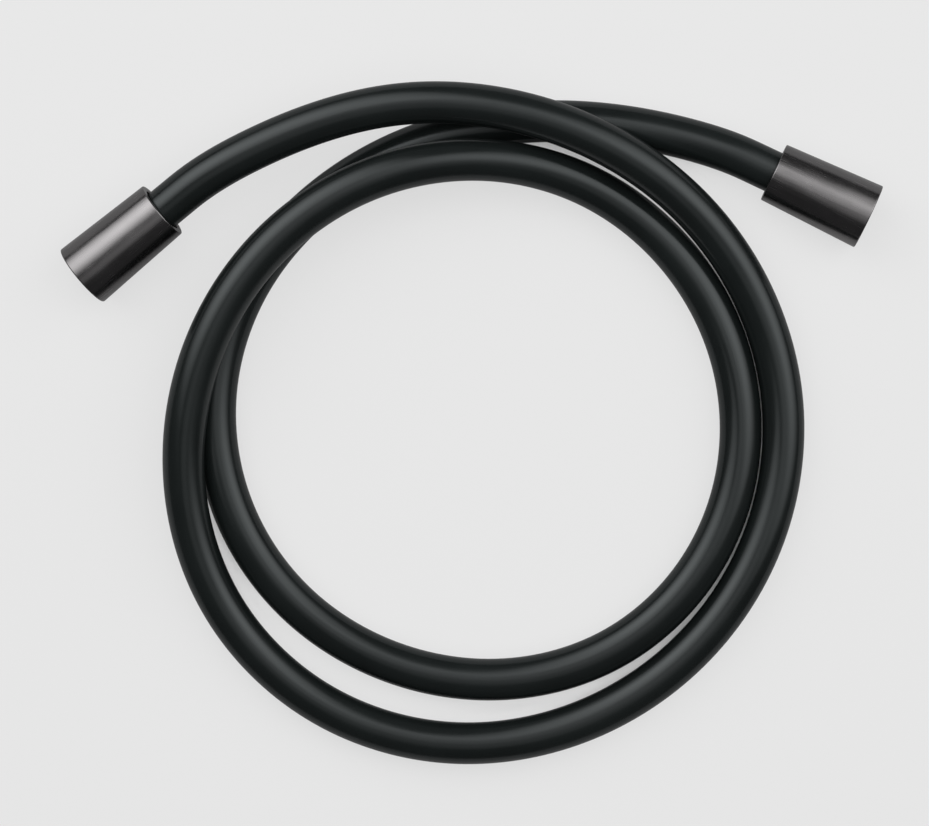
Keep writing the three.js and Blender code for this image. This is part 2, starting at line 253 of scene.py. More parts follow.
class NutProperties(bpy.types.PropertyGroup):
    """Sizes and finish of the two union nuts"""

    length: FloatProperty(
        name="Length", description="Length from the mouth to the rear", default=0.038, unit="LENGTH"
    )
    rear_gap: FloatProperty(
        name="Rear Gap",
        description="Air between the hose and the rear bore",
        default=0.0009,
        unit="LENGTH",
    )
    mouth_wall: FloatProperty(
        name="Mouth Wall", description="Wall outside the thread's roots", default=0.00172, unit="LENGTH"
    )
    rear_wall: FloatProperty(
        name="Rear Wall", description="Wall outside the rear bore", default=0.0025, unit="LENGTH"
    )
    rim: FloatProperty(
        name="Rim", description="Rounding of the outer edges", default=0.0005, unit="LENGTH"
    )
    socket_depth: FloatProperty(
        name="Socket Depth", description="How deep a spigot screws in", default=0.009, unit="LENGTH"
    )
    thread_pitch: FloatProperty(
        name="Thread Pitch", description="Pitch of the G1/2 thread", default=0.001814, unit="LENGTH"
    )
    thread_crest: FloatProperty(
        name="Thread Crest", description="Radius of the thread's crests", default=0.009316, unit="LENGTH"
    )
    thread_root: FloatProperty(
        name="Thread Root", description="Radius of the thread's roots", default=0.010478, unit="LENGTH"
    )
    colour: FloatVectorProperty(
        name="Colour",
        description="Colour of the brushed gunmetal",
        default=(0.236, 0.228, 0.23),
        subtype="COLOR",
        min=0,
        max=1,
    )
    roughness: FloatProperty(
        name="Roughness",
        description="How much the brushed surface spreads a reflection",
        default=0.23,
        subtype="FACTOR",
        min=0,
        max=1,
    )


class StageProperties(bpy.types.PropertyGroup):
    """The floor, the camera and the lamps"""

    floor_colour: FloatVectorProperty(
        name="Floor Colour",
        description="Colour of the pale floor",
        default=(0.807, 0.807, 0.807),
        subtype="COLOR",
        min=0,
        max=1,
    )
    evenness: FloatProperty(
        name="Evenness",
        description="Share of the floor that the camera sees as pale in shadow as in light",
        default=0.8,
        subtype="FACTOR",
        min=0,
        max=1,
    )
    mirrored_evenness: FloatProperty(
        name="Mirrored Evenness",
        description="The same share in reflections",
        default=0.06,
        subtype="FACTOR",
        min=0,
        max=1,
    )
    bounce: FloatProperty(
        name="Bounce",
        description="Share of the floor's light that the object gets back from it",
        default=0.42,
        subtype="FACTOR",
        min=0,
        max=1,
    )
    room_colour: FloatVectorProperty(
        name="Room Colour",
        description="Colour of the dim room round the lamps",
        default=(0.055, 0.055, 0.056),
        subtype="COLOR",
        min=0,
        max=1,
    )
    camera_height: FloatProperty(
        name="Camera Height",
        description="Height of the camera over the floor",
        default=1.4,
        unit="LENGTH",
    )
    view_width: FloatProperty(
        name="View Width",
        description="Width of the picture, measured at the middle of the hose",
        default=0.3378,
        unit="LENGTH",
    )
    lamp_level: FloatProperty(
        name="Lamp Level", description="Brightness of all lamps together", default=1.0, min=0
    )


class TreeWriter:
    """Writes the nodes of one tree. An input is given by its name or number, with a value or the
    output that feeds it."""

    def __init__(self, tree):
        self.tree = tree

    def add(self, kind, inputs=(), **settings):
        node = self.tree.nodes.new(kind)
        for name, value in settings.items():
            setattr(node, name, value)
        for key, value in dict(inputs).items():
            self.feed(node.inputs[key], value)
        return node

    def feed(self, socket, value):
        if isinstance(value, bpy.types.NodeSocket):
            self.tree.links.new(value, socket)
        else:
            socket.default_value = value

    def math(self, operation, *values):
        return self.add("ShaderNodeMath", enumerate(values), operation=operation).outputs[0]

    def vector(self, operation, *values):
        return self.add("ShaderNodeVectorMath", enumerate(values), operation=operation).outputs[0]

    def scaled(self, vector, factor):
        inputs = {"Vector": vector, "Scale": factor}
        return self.add("ShaderNodeVectorMath", inputs, operation="SCALE").outputs[0]

    def joined(self, x, y, z):
        return self.add("ShaderNodeCombineXYZ", {"X": x, "Y": y, "Z": z}).outputs[0]


def new_material(name):
    """A material with an empty tree, its writer, its shader and the place that its patterns read."""
    material = bpy.data.materials.new(name)
    material.use_nodes = True
    material.node_tree.nodes.clear()
    writer = TreeWriter(material.node_tree)
    shader = writer.add("ShaderNodeBsdfPrincipled")
    writer.add("ShaderNodeOutputMaterial", {"Surface": shader.outputs[0]})
    place = writer.add("ShaderNodeAttribute", attribute_name=OWN_PLACE).outputs["Vector"]
    return material, writer, shader, place


def stretched_noise(writer, place, grains, detail=2.0):
    """Noise with so many grains a metre across the piece's axis and along it, from 0 to 1."""
    across, along = grains
    scaled = writer.vector("MULTIPLY", place, (across, across, along))
    noise = writer.add("ShaderNodeTexNoise", {"Vector": scaled, "Scale": 1.0, "Detail": detail})
    return noise.outputs["Fac"]


def ranged(writer, value, low, high):
    """A value whose usual range, near its middle, is spread from low to high."""
    least, most = NOISE_RANGE
    inputs = {"Value": value, "From Min": least, "From Max": most, "To Min": low, "To Max": high}
    return writer.add("ShaderNodeMapRange", inputs).outputs["Result"]


def blended(writer, first, second, share):
    """The mix of two values, with so large a share of the first."""
    first_part = writer.math("MULTIPLY", first, share)
    return writer.math("ADD", first_part, writer.math("MULTIPLY", second, 1 - share))


def toned(writer, value, colour, low, high):
    """The colour, made from low to high times as light by a value."""
    return writer.scaled(tuple(colour), ranged(writer, value, low, high))


def relief(writer, height, distance, strength=1.0):
    inputs = {"Height": height, "Distance": distance, "Strength": strength}
    return writer.add("ShaderNodeBump", inputs).outputs["Normal"]


def black_plastic(hose):
    """Smooth satin black plastic, with the faint lengthwise lines that the die leaves."""
    material, writer, shader, place = new_material("satin_black_plastic")
    die_lines = stretched_noise(writer, place, DIE_LINES)
    patches = stretched_noise(writer, place, PLASTIC_PATCHES)
    skin = stretched_noise(writer, place, PLASTIC_SKIN, detail=1.0)
    writer.feed(shader.inputs["Base Color"], toned(writer, patches, hose.colour, low=0.85, high=1.15))
    patchy = ranged(writer, patches, low=-0.03, high=0.03)
    uneven = writer.math("ADD", patchy, ranged(writer, die_lines, low=-0.02, high=0.02))
    writer.feed(shader.inputs["Roughness"], writer.math("ADD", uneven, hose.roughness))
    shader.inputs["Specular IOR Level"].default_value = PLASTIC_SPECULAR
    shader.inputs["Specular Tint"].default_value = PLASTIC_TINT
    height = blended(writer, die_lines, skin, share=0.6)
    writer.feed(shader.inputs["Normal"], relief(writer, height, PLASTIC_RELIEF))
    return material


def brushed_metal(name, colour, roughness, grains):
    """Metal with fine scratches, so many a metre across the piece's axis and along it."""
    material, writer, shader, place = new_material(name)
    scratches = stretched_noise(writer, place, grains, detail=3.0)
    clouds = stretched_noise(writer, place, METAL_CLOUDS)
    tone = blended(writer, scratches, clouds, share=0.5)
    writer.feed(shader.inputs["Base Color"], toned(writer, tone, colour, low=0.9, high=1.1))
    shader.inputs["Metallic"].default_value = 1.0
    scratched = ranged(writer, scratches, low=-0.05, high=0.05)
    worn = writer.math("ADD", scratched, ranged(writer, clouds, low=-0.02, high=0.02))
    writer.feed(shader.inputs["Roughness"], writer.math("ADD", worn, roughness))
    writer.feed(shader.inputs["Normal"], relief(writer, scratches, METAL_RELIEF))
    return material


def gunmetal(nut):
    """Dark metal, brushed lengthwise."""
    return brushed_metal("brushed_gunmetal", nut.colour, nut.roughness, NUT_BRUSHING)


def turned_brass():
    """Brass with the fine rings that turning leaves."""
    return brushed_metal("turned_brass", COLOUR_OF["brass"], BRASS_ROUGHNESS, TURNED_RINGS)


def spring_steel():
    """Rolled steel strip."""
    return brushed_metal("spring_steel", COLOUR_OF["steel"], STEEL_ROUGHNESS, ROLLED_GRAIN)


def soft_rubber():
    """Moulded black rubber, dull, with a fine grain."""
    material, writer, shader, place = new_material("moulded_rubber")
    grain = stretched_noise(writer, place, RUBBER_GRAIN, detail=3.0)
    bloom = stretched_noise(writer, place, RUBBER_BLOOM)
    rubber = toned(writer, bloom, COLOUR_OF["rubber"], low=0.75, high=1.3)
    writer.feed(shader.inputs["Base Color"], rubber)
    writer.feed(shader.inputs["Roughness"], ranged(writer, bloom, low=0.66, high=0.8))
    writer.feed(shader.inputs["Normal"], relief(writer, grain, RUBBER_RELIEF, strength=0.7))
    return material


def pale_floor(stage):
    """An even pale floor that keeps a part of the object's shadow, and all of it in narrow gaps."""
    material = bpy.data.materials.new("pale_floor")
    material.use_nodes = True
    material.node_tree.nodes.clear()
    writer = TreeWriter(material.node_tree)
    rays = writer.add("ShaderNodeLightPath").outputs
    inputs = {"Value": rays["Is Camera Ray"], "To Min": stage.bounce, "To Max": 1.0}
    returned = writer.add("ShaderNodeMapRange", inputs).outputs["Result"]
    lit_colour = writer.scaled(tuple(stage.floor_colour), returned)
    lit = writer.add("ShaderNodeBsdfDiffuse", {"Color": lit_colour}).outputs[0]
    colour = (*stage.floor_colour, 1.0)
    even = writer.add("ShaderNodeEmission", {"Color": colour, "Strength": 1.0}).outputs[0]
    mirrored = writer.math("MAXIMUM", rays["Is Glossy Ray"], rays["Is Transmission Ray"])
    share = writer.math("MULTIPLY", mirrored, stage.mirrored_evenness)
    share = writer.math("ADD", share, writer.math("MULTIPLY", rays["Is Camera Ray"], stage.evenness))
    occlusion = writer.add("ShaderNodeAmbientOcclusion", {"Distance": GAP_REACH}, samples=SKY_SAMPLES)
    inputs = {"Value": occlusion.outputs["AO"], "From Min": CLOSED_SKY, "From Max": OPEN_SKY}
    open_floor = writer.add("ShaderNodeMapRange", inputs).outputs["Result"]
    share = writer.math("MULTIPLY", share, open_floor)
    mixed = writer.add("ShaderNodeMixShader", {0: share, 1: lit, 2: even}).outputs[0]
    writer.add("ShaderNodeOutputMaterial", {"Surface": mixed})
    return material


def added(name, data):
    piece = bpy.data.objects.new(name, data)
    bpy.context.scene.collection.objects.link(piece)
    return piece


def stands_for(piece, node):
    """The piece replaces a CAD node, which it hides, and moves with its body."""
    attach(piece, BODY_OF[node])
    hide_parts(node)


def modified(piece, tree, values):
    """The piece's mesh after a node tree, whose inputs are set by name, as a new plain mesh."""
    modifier = piece.modifiers.new(tree.name, "NODES")
    modifier.node_group = tree
    for item in tree.interface.items_tree:
        if item.item_type == "SOCKET" and item.in_out == "INPUT" and item.name in values:
            modifier[item.identifier] = values[item.name]
    evaluated = piece.evaluated_get(bpy.context.evaluated_depsgraph_get())
    mesh = bpy.data.meshes.new_from_object(evaluated)
    piece.modifiers.clear()
    mesh.name = piece.name
    return mesh


def new_tree(name, sockets):
    """A geometry tree with named inputs, its writer and its inputs' outputs by name."""
    tree = bpy.data.node_groups.new(name, "GeometryNodeTree")
    tree.interface.new_socket("Geometry", in_out="INPUT", socket_type="NodeSocketGeometry")
    for label, kind in sockets.items():
        tree.interface.new_socket(label, in_out="INPUT", socket_type=kind)
    tree.interface.new_socket("Geometry", in_out="OUTPUT", socket_type="NodeSocketGeometry")
    writer = TreeWriter(tree)
    return tree, writer, writer.add("NodeGroupInput").outputs


def end_tree(writer, geometry, own_place, finish):
    """Keeps each point's own place, sets the finish and closes the tree."""
    inputs = {"Geometry": geometry, "Name": OWN_PLACE, "Value": own_place}
    kind = {"data_type": "FLOAT_VECTOR", "domain": "POINT"}
    stored = writer.add("GeometryNodeStoreNamedAttribute", inputs, **kind)
    real = writer.add("GeometryNodeRealizeInstances", {"Geometry": stored.outputs[0]})
    dressed = writer.add("GeometryNodeSetMaterial", {"Geometry": real.outputs[0], "Material": finish})
    writer.add("NodeGroupOutput", {"Geometry": dressed.outputs[0]})


def hose_tree():
    """A tube with a bore along a curve, closed by a flat rim at each end."""
    sockets = {
        "Line": "NodeSocketObject",
        "Radius": "NodeSocketFloat",
        "Bore Radius": "NodeSocketFloat",
        "Sides": "NodeSocketInt",
        "Ring Spacing": "NodeSocketFloat",
        "Finish": "NodeSocketMaterial",
    }
    tree, writer, given = new_tree("Hose Wall", sockets)
    line = writer.add("GeometryNodeObjectInfo", {"Object": given["Line"]}).outputs["Geometry"]
    inputs = {"Curve": line, "Length": given["Ring Spacing"]}
    rings = writer.add("GeometryNodeResampleCurve", inputs, mode="LENGTH").outputs[0]

    # Each point of the wall keeps the middle of its ring, its distance along the line and its
    # place in the round section.
    position = writer.add("GeometryNodeInputPosition").outputs[0]
    distance = writer.add("GeometryNodeSplineParameter").outputs["Length"]
    centre = writer.add("GeometryNodeCaptureAttribute", {"Geometry": rings}, domain="POINT")
    centre.capture_items.new("VECTOR", "Centre")
    centre.capture_items.new("FLOAT", "Along")
    writer.feed(centre.inputs["Centre"], position)
    writer.feed(centre.inputs["Along"], distance)
    inputs = {"Resolution": given["Sides"], "Radius": given["Radius"]}
    circle = writer.add("GeometryNodeCurvePrimitiveCircle", inputs).outputs[0]
    section = writer.add("GeometryNodeCaptureAttribute", {"Geometry": circle}, domain="POINT")
    section.capture_items.new("VECTOR", "Section")
    writer.feed(section.inputs["Section"], position)

    inputs = {"Curve": centre.outputs[0], "Profile Curve": section.outputs[0]}
    outside = writer.add("GeometryNodeCurveToMesh", inputs).outputs[0]
    inward = writer.vector("SUBTRACT", centre.outputs["Centre"], position)
    share = writer.math("SUBTRACT", 1.0, writer.math("DIVIDE", given["Bore Radius"], given["Radius"]))
    to_bore = writer.scaled(inward, share)
    bore = writer.add("GeometryNodeSetPosition", {"Geometry": outside, "Offset": to_bore}).outputs[0]
    bore = writer.add("GeometryNodeFlipFaces", {"Mesh": bore}).outputs[0]

    # An edge at an open end has only one face. Those edges are drawn inwards to the bore as rims.
    neighbours = writer.add("GeometryNodeInputMeshEdgeNeighbors").outputs[0]
    at_end = writer.math("LESS_THAN", neighbours, 1.5)
    inputs = {"Mesh": outside, "Selection": at_end, "Offset": to_bore, "Offset Scale": 1.0}
    rimmed = writer.add("GeometryNodeExtrudeMesh", inputs, mode="EDGES").outputs[0]
    wall = writer.add("GeometryNodeJoinGeometry")
    writer.feed(wall.inputs[0], rimmed)
    writer.feed(wall.inputs[0], bore)
    inputs = {"Geometry": wall.outputs[0], "Distance": MERGE_REACH}
    closed = writer.add("GeometryNodeMergeByDistance", inputs).outputs[0]
    straight = writer.vector(
        "ADD", section.outputs["Section"], writer.joined(0.0, 0.0, centre.outputs["Along"])
    )
    end_tree(writer, closed, straight, given["Finish"])
    return tree


def thread_tree():
    """Presses a right-hand screw thread outwards into the socket of a nut that stands on its mouth."""
    sockets = {
        "Pitch": "NodeSocketFloat",
        "Crest Radius": "NodeSocketFloat",
        "Root Radius": "NodeSocketFloat",
        "Thread End": "NodeSocketFloat",
        "Finish": "NodeSocketMaterial",
    }
    tree, writer, given = new_tree("Socket Thread", sockets)
    position = writer.add("GeometryNodeInputPosition").outputs[0]
    place = writer.add("ShaderNodeSeparateXYZ", {"Vector": position}).outputs
    squares = [writer.math("MULTIPLY", place[axis], place[axis]) for axis in "XY"]
    radius = writer.math("SQRT", writer.math("ADD", *squares))
    turn = writer.math("DIVIDE", writer.math("ARCTAN2", place["Y"], place["X"]), math.tau)
    phase = writer.math("SUBTRACT", writer.math("DIVIDE", place["Z"], given["Pitch"]), turn)
    wave = writer.math("COSINE", writer.math("MULTIPLY", phase, math.tau))
    share = writer.math("MULTIPLY_ADD", wave, 0.5, 0.5)
    depth = writer.math("SUBTRACT", given["Root Radius"], given["Crest Radius"])
    groove = writer.math("MULTIPLY_ADD", share, depth, given["Crest Radius"])
    factor = writer.math("DIVIDE", writer.math("MAXIMUM", radius, groove), radius)
    cut = writer.vector("MULTIPLY", position, writer.joined(factor, factor, 1.0))
    inside = writer.math("LESS_THAN", radius, given["Root Radius"])
    before_end = writer.math("LESS_THAN", place["Z"], given["Thread End"])
    chosen = writer.math("MULTIPLY", inside, before_end)
    inputs = {"Geometry": given["Geometry"], "Selection": chosen, "Position": cut}
    threaded = writer.add("GeometryNodeSetPosition", inputs).outputs[0]
    inputs = {"Geometry": threaded, "Distance": MERGE_REACH}
    merged = writer.add("GeometryNodeMergeByDistance", inputs).outputs[0]
    end_tree(writer, merged, position, given["Finish"])
    return tree


def along_line(points, slopes):
    """Points on the smooth line, with LINE_STEPS steps from each given point to the next."""
    line = []
    for a, b, slope_a, slope_b in zip(points, points[1:], slopes, slopes[1:]):
        length = (b - a).length
        for step in range(LINE_STEPS):
            u = step / LINE_STEPS
            blend = u * u * (3 - 2 * u)
            bend = slope_a * (length * u * (1 - u) ** 2) - slope_b * (length * u * u * (1 - u))
            line.append(a.lerp(b, blend) + bend)
    return line + [points[-1]]


def even_slopes(points, first, last):
    """The slope at each point with which a cubic through them all bends without a break."""
    spans = [(b - a).length for a, b in zip(points, points[1:])]
    slopes = [first.copy()]
    factors = [0.0]
    for i in range(1, len(points) - 1):
        before, after = spans[i - 1], spans[i]
        pull = (points[i] - points[i - 1]) * (3 * after / before)
        pull += (points[i + 1] - points[i]) * (3 * before / after)
        pull -= slopes[i - 1] * after
        weight = 2 * (before + after) - after * factors[i - 1]
        factors.append(before / weight)
        slopes.append(pull / weight)
    slopes.append(last.copy())
    for i in range(len(points) - 2, 0, -1):
        slopes[i] -= slopes[i + 1] * factors[i]
    return slopes


def station(degrees, distance, height):
    angle = math.radians(degrees)
    x = LOOPS_CENTRE[0] + distance * math.cos(angle)
    y = LOOPS_CENTRE[1] + distance * math.sin(angle)
    return Vector((x, y, height))


class Fitting:
    """Where a nut stands, from its joint in the frame: the middle of its mouth, the way that the
    mouth points, and the matrix from the fitting's own frame, whose Z runs from mouth to hose."""

    def __init__(self, joint):
        self.mouth = Vector(JOINT_OF[joint]["pos_m"])
        self.direction = Vector(JOINT_OF[joint]["axis"]).normalized()
        turn = (-self.direction).to_track_quat("Z", "Y").to_matrix().to_4x4()
        self.matrix = Matrix.Translation(self.mouth) @ turn

    def at(self, along):
        return self.mouth - self.direction * along


HANDSET = Fitting("handset_nut_turn")
SUPPLY = Fitting("supply_nut_turn")


class Places:
    """Radii and places along a fitting's axis from the mouth, worked out from the driving sizes."""

    def __init__(self, hose, nut):
        self.hose_radius = hose.diameter / 2
        self.ferrule_inner = self.hose_radius + CRIMP_GAP
        self.ferrule_outer = self.ferrule_inner + FERRULE_WALL
        self.nut_bore = self.hose_radius + nut.rear_gap
        self.nut_rear = self.nut_bore + nut.rear_wall
        self.nut_mouth = nut.thread_root + nut.mouth_wall
        self.flange_radius = self.nut_bore + SHOULDER_WIDTH
        self.washer_radius = nut.thread_crest - WASHER_SIDE_GAP
        self.hub_radius = self.nut_bore - SEAT_GAP
        self.tail_radius = hose.bore / 2 - TAIL_GAP
        self.tail_root = self.tail_radius - BARB_DEPTH
        self.waterway = self.tail_root - TAIL_WALL
        self.spigot_radius = SEAT_BORE_RADIUS - RUNNING_GAP
        self.collar_radius = self.spigot_radius + COLLAR_WALL
        self.seal_groove = SEAT_BORE_RADIUS - 2 * (O_RING_SECTION + O_RING_GAP)

        self.washer_front = nut.socket_depth
        self.washer_back = self.washer_front + WASHER_THICKNESS
        self.relief_start = self.washer_front + WASHER_THICKNESS / 2
        self.flange_front = self.washer_back + SEAT_GAP
        self.flange_back = self.flange_front + FLANGE_THICKNESS
        self.shoulder = self.flange_back + SEAT_GAP
        self.ferrule_end = nut.length - FERRULE_RECESS
        self.hub_end = self.flange_back + HUB_LENGTH
        self.collar_front = self.hub_end + SEAT_GAP
        self.collar_back = self.collar_front + COLLAR_THICKNESS
        self.core_front = self.flange_front + CORE_SETBACK
        self.clip_shoulder = self.flange_front + CLIP_POCKET_DEPTH
        self.clip_back = self.clip_shoulder - CLIP_SIDE_GAP
        self.clip_front = self.clip_back - CLIP_THICKNESS
        self.seal_centre = self.clip_shoulder + O_RING_SETBACK

        # Each ferrule's front lip is held between a metal face and the hose's end.
        self.handset_lip = self.collar_back + SEAT_GAP
        self.handset_hose_end = self.handset_lip + FERRULE_WALL + SEAT_GAP
        self.supply_lip = self.shoulder
        self.supply_hose_end = self.supply_lip + FERRULE_WALL + SEAT_GAP


def places(context):
    return Places(context.scene.shower_hose_tube, context.scene.shower_hose_nut)


def eased(corners):
    """The closed outline with each corner rounded a little, or by the corner's own third value."""
    outline = []
    for i, corner in enumerate(corners):
        here = Vector(corner[:2])
        before = Vector(corners[i - 1][:2]) - here
        after = Vector(corners[(i + 1) % len(corners)][:2]) - here
        size = corner[2] if len(corner) > 2 else EDGE_EASE
        if size == 0:
            outline.append(here)
            continue
        start = here + before.normalized() * min(size, EASE_SHARE * before.length)
        end = here + after.normalized() * min(size, EASE_SHARE * after.length)
        count = RIM_STEPS if size > EDGE_EASE else EASE_STEPS
        for step in range(count + 1):
            u = step / count
            outline.append(start.lerp(here, u).lerp(here.lerp(end, u), u))
    return outline


def turned_mesh(name, outline, sides=TURNED_SIDES, opening=0.0):
    """A mesh turned round its own Z axis from a closed outline of points (along, radius), all the
    way round or with an opening that is closed by flat ends."""
    area = sum(a.x * b.y - b.x * a.y for a, b in zip(outline, outline[1:] + outline[:1]))
    loop = outline if area < 0 else outline[::-1]
    columns = sides if opening == 0 else sides + 1
    vertices = []
    for column in range(columns):
        angle = opening / 2 + (math.tau - opening) * column / sides
        vertices += [(r * math.cos(angle), r * math.sin(angle), z) for z, r in loop]
    count = len(loop)
    faces = []
    for column in range(sides):
        here, there = column * count, (column + 1) % columns * count
        for i in range(count):
            j = (i + 1) % count
            faces.append((here + i, there + i, there + j, here + j))
    if opening > 0:
        faces.append(tuple(range(count)))
        faces.append(tuple(range(sides * count + count - 1, sides * count - 1, -1)))
    mesh = bpy.data.meshes.new(name)
    mesh.from_pydata(vertices, [], faces)
    return mesh


def keep_own_place(mesh):
    """Stores each point's place in the piece's own frame, for its material."""
    values = [x for vertex in mesh.vertices for x in vertex.co]
    mesh.attributes.new(OWN_PLACE, "FLOAT_VECTOR", "POINT").data.foreach_set("vector", values)


def smooth(mesh):
    mesh.shade_smooth()
    mesh.set_sharp_from_angle(angle=SMOOTH_ANGLE)


def placed(name, mesh, fitting, node):
    """A piece whose mesh is moved from the fitting's own frame to its place."""
    smooth(mesh)
    mesh.transform(fitting.matrix)
    mesh.update()
    piece = added(name, mesh)
    stands_for(piece, node)
    return piece


def turned_piece(name, corners, fitting, node, finish, **options):
    mesh = turned_mesh(name, eased(corners), **options)
    mesh.materials.append(finish)
    keep_own_place(mesh)
    return placed(name, mesh, fitting, node)


def barbs(sizes, start, end):
    """The barbs of a tail, steep towards the flange so that the hose can't slip off."""
    corners = []
    along = start
    while along + BARB_PITCH <= end:
        corners += [(along, sizes.tail_root), (along, sizes.tail_radius)]
        along += BARB_PITCH
    return corners + [(end, sizes.tail_root)]


def nut_corners(nut, sizes):
    """From the mouth: a lead-in and the thread's length in fine steps, a relief for the washer and
    the flange, the shoulder that pulls on the flange, and a bore that clears the hose."""
    lead_in = nut.thread_root - nut.thread_crest
    step = nut.thread_pitch / THREAD_SAMPLES
    count = math.ceil(sizes.relief_start / step)
    corners = []
    for i in range(count + 1):
        along = sizes.relief_start * i / count
        corners.append((along, nut.thread_crest + max(0.0, lead_in - along), 0))
    corners += [
        (sizes.relief_start, nut.thread_root + EDGE_EASE, 0),
        (sizes.shoulder, nut.thread_root + EDGE_EASE),
        (sizes.shoulder, sizes.nut_bore),
        (nut.length, sizes.nut_bore, nut.rim),
        (nut.length, sizes.nut_rear, nut.rim),
        (0, sizes.nut_mouth, nut.rim),
    ]
    return corners


class ShowerHoseStage(bpy.types.Operator):
    """Make the camera, the pale floor and the soft lamps"""

    bl_idname = "shower_hose.make_stage"
    bl_label = "Make Stage"

    def execute(self, context):
        stage = context.scene.shower_hose_stage
        self.make_camera(context, stage)
        self.make_floor(stage)
        self.make_lamps(stage)
        self.make_world(context, stage)
        context.scene.view_settings.view_transform = "Standard"
        return {"FINISHED"}

    def make_camera(self, context, stage):
        middle_height = context.scene.shower_hose_tube.diameter / 2
        pixel = stage.view_width / PICTURE_SIZE[0]
        camera = bpy.data.cameras.new("camera")
        camera.sensor_width = SENSOR_WIDTH_MM
        camera.lens = SENSOR_WIDTH_MM * (stage.camera_height - middle_height) / stage.view_width
        piece = added("camera", camera)
        across = (EYE_PIXEL[0] - ORIGIN_PIXEL[0]) * pixel
        up = (ORIGIN_PIXEL[1] - EYE_PIXEL[1]) * pixel
        piece.location = (across, up, stage.camera_height)
        context.scene.camera = piece

    def make_floor(self, stage):
        """A wide round floor, flat on top and a shallow cone below."""
        outline = [Vector((0, 0)), Vector((0, FLOOR_RADIUS)), Vector((-FLOOR_THICKNESS, 0))]
        mesh = turned_mesh("floor", outline)
        mesh.materials.append(pale_floor(stage))
        added("floor", mesh)

    def make_lamps(self, stage):
        for name, (*place, radiance) in LAMPS.items():
            lamp = self.lamp(name, *place, radiance * stage.lamp_level)
            lamp.visible_glossy = name != EVEN_LIGHT

    def lamp(self, name, heading, lean, distance, side, softness, radiance):
        """A square lamp that faces the middle of the object, so many degrees from the vertical. It
        is brightest in its middle, where its power gives that radiance, and dims by the softness."""
        data = bpy.data.lights.new(name, "AREA")
        data.shape = "SQUARE"
        data.size = side
        data.energy = radiance * math.pi * side * side
        data.use_nodes = True
        data.node_tree.nodes.clear()
        writer = TreeWriter(data.node_tree)
        place = writer.add("ShaderNodeNewGeometry").outputs["Parametric"]
        middle = (0.5, 0.5, 0.0)
        offset = writer.vector("SUBTRACT", place, middle)
        inputs = {0: offset, 1: offset}
        dot = writer.add("ShaderNodeVectorMath", inputs, operation="DOT_PRODUCT")
        square = dot.outputs["Value"]
        dimmed = writer.math("EXPONENT", writer.math("MULTIPLY", square, -0.5 / softness**2))
        glow = writer.add("ShaderNodeEmission", {"Strength": dimmed}).outputs[0]
        writer.add("ShaderNodeOutputLight", {"Surface": glow})
        lamp = added(name, data)
        turn, tilt = math.radians(heading), math.radians(lean)
        sideways = math.sin(tilt)
        out = Vector((sideways * math.cos(turn), sideways * math.sin(turn), math.cos(tilt)))
        lamp.location = out * distance
        lamp.rotation_mode = "QUATERNION"
        lamp.rotation_quaternion = out.to_track_quat("Z", "Y")
        lamp.visible_camera = False
        return lamp

    def make_world(self, context, stage):
        """A dim room, behind which the camera sees the pale of the floor go on."""
        world = bpy.data.worlds.new("world")
        world.use_nodes = True
        world.node_tree.nodes.clear()
        writer = TreeWriter(world.node_tree)
        seen = writer.add("ShaderNodeLightPath").outputs["Is Camera Ray"]
        dim = writer.add("ShaderNodeBackground", {"Color": (*stage.room_colour, 1.0)}).outputs[0]
        pale = writer.add("ShaderNodeBackground", {"Color": (*stage.floor_colour, 1.0)}).outputs[0]
        mixed = writer.add("ShaderNodeMixShader", {0: seen, 1: dim, 2: pale}).outputs[0]
        writer.add("ShaderNodeOutputWorld", {"Surface": mixed})
        context.scene.world = world


class ShowerHoseTube(bpy.types.Operator):
    """Make the hose along its route"""

    bl_idname = "shower_hose.make_hose"
    bl_label = "Make Hose"

    def execute(self, context):
        hose = context.scene.shower_hose_tube
        nut = context.scene.shower_hose_nut
        sizes = places(context)
        line, centres = self.route(nut, sizes)
        piece = added("smooth_hose", bpy.data.meshes.new("smooth_hose"))
        values = {
            "Line": line,
            "Radius": hose.diameter / 2,
            "Bore Radius": hose.bore / 2,
            "Sides": hose.sides,
            "Ring Spacing": hose.ring_spacing,
            "Finish": black_plastic(hose),
        }
        piece.data = modified(piece, hose_tree(), values)
        smooth(piece.data)
        bpy.data.objects.remove(line)
        stands_for(piece, "hose")
        return {"FINISHED"}

    def route(self, nut, sizes):
        """The hose's middle line as a curve object, and as points."""
        start = HANDSET.at(sizes.handset_hose_end)
        end = SUPPLY.at(sizes.supply_hose_end)
        middle = [HANDSET.at(nut.length + STRAIGHT_RUN)]
        middle += [station(*place) for place in ROUTE]
        middle.append(SUPPLY.at(nut.length + STRAIGHT_RUN))
        points = [start, *middle, end]
        slopes = even_slopes(middle, -HANDSET.direction, SUPPLY.direction)
        slopes = [slopes[0], *slopes, slopes[-1]]
        curve = bpy.data.curves.new("hose_line", "CURVE")
        curve.dimensions = "3D"
        curve.resolution_u = LINE_STEPS
        spline = curve.splines.new("BEZIER")
        spline.bezier_points.add(len(points) - 1)
        spans = [(b - a).length for a, b in zip(points, points[1:])]
        for i, (knot, point, slope) in enumerate(zip(spline.bezier_points, points, slopes)):
            before, after = spans[max(i - 1, 0)], spans[min(i, len(spans) - 1)]
            knot.co = point
            knot.handle_left_type = knot.handle_right_type = "FREE"
            knot.handle_left = point - slope * (before / 3)
            knot.handle_right = point + slope * (after / 3)
        return added("hose_line", curve), along_line(points, slopes)


